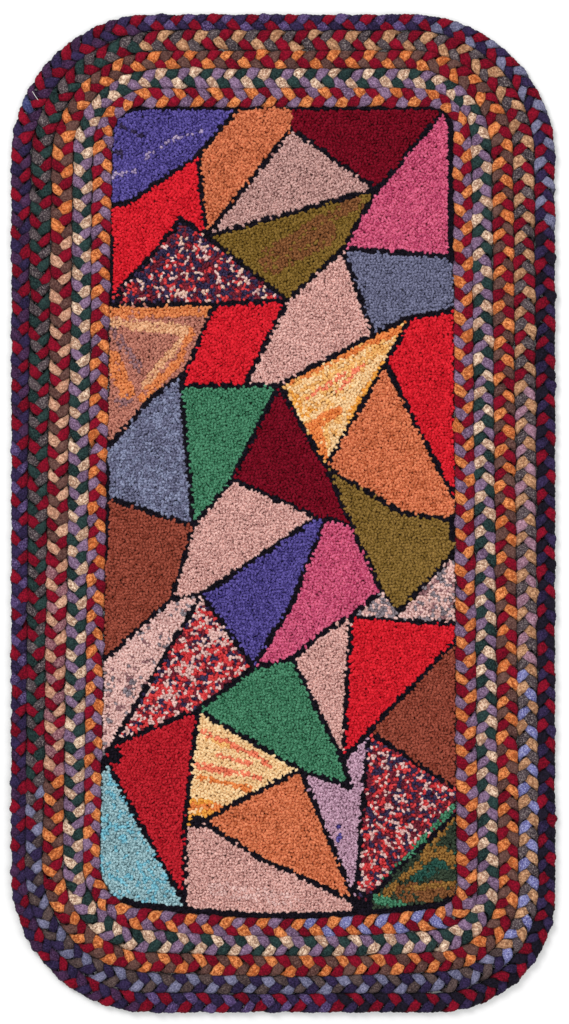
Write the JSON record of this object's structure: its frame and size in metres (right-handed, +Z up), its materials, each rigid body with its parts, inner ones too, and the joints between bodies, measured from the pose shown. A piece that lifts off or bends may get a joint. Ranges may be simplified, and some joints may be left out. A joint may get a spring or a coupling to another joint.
{
  "type": "hooked rug with a braided border",
  "caption": "Small oblong floor rug: a hooked wool panel of irregular patches outlined in black, inside a border of multicoloured braids with round corners, lying flat.",
  "frame": {"origin": "middle of the underside, under the middle of the rug's box", "axes": "+Y along the rug's length, towards the end with the blue and crimson patches; +X to the right seen from above; +Z up out of the pile"},
  "size_m": [0.6378, 1.1698, 0.012],
  "materials": {
    "hooked_wool": "wool yarn loops, matte, in many colours with black outlines",
    "braid_wool_1": "felted wool strips, matte: navy, plum and crimson",
    "braid_wool_2": "felted wool strips, matte: beige, charcoal tweed, crimson, bottle green and slate blue",
    "braid_wool_3": "felted wool strips, matte: orange, crimson, brown and cream",
    "braid_wool_4": "felted wool strips, matte: cream, bottle green and lavender",
    "braid_wool_5": "felted wool strips, matte: orange, crimson and lavender"
  },
  "bodies": {
    "root": {"hooked_panel": "hooked_wool", "braid_row_1": "braid_wool_1", "braid_row_2": "braid_wool_2", "braid_row_3": "braid_wool_3", "braid_row_4": "braid_wool_4", "braid_row_5": "braid_wool_5"}
  },
  "joints": []
}
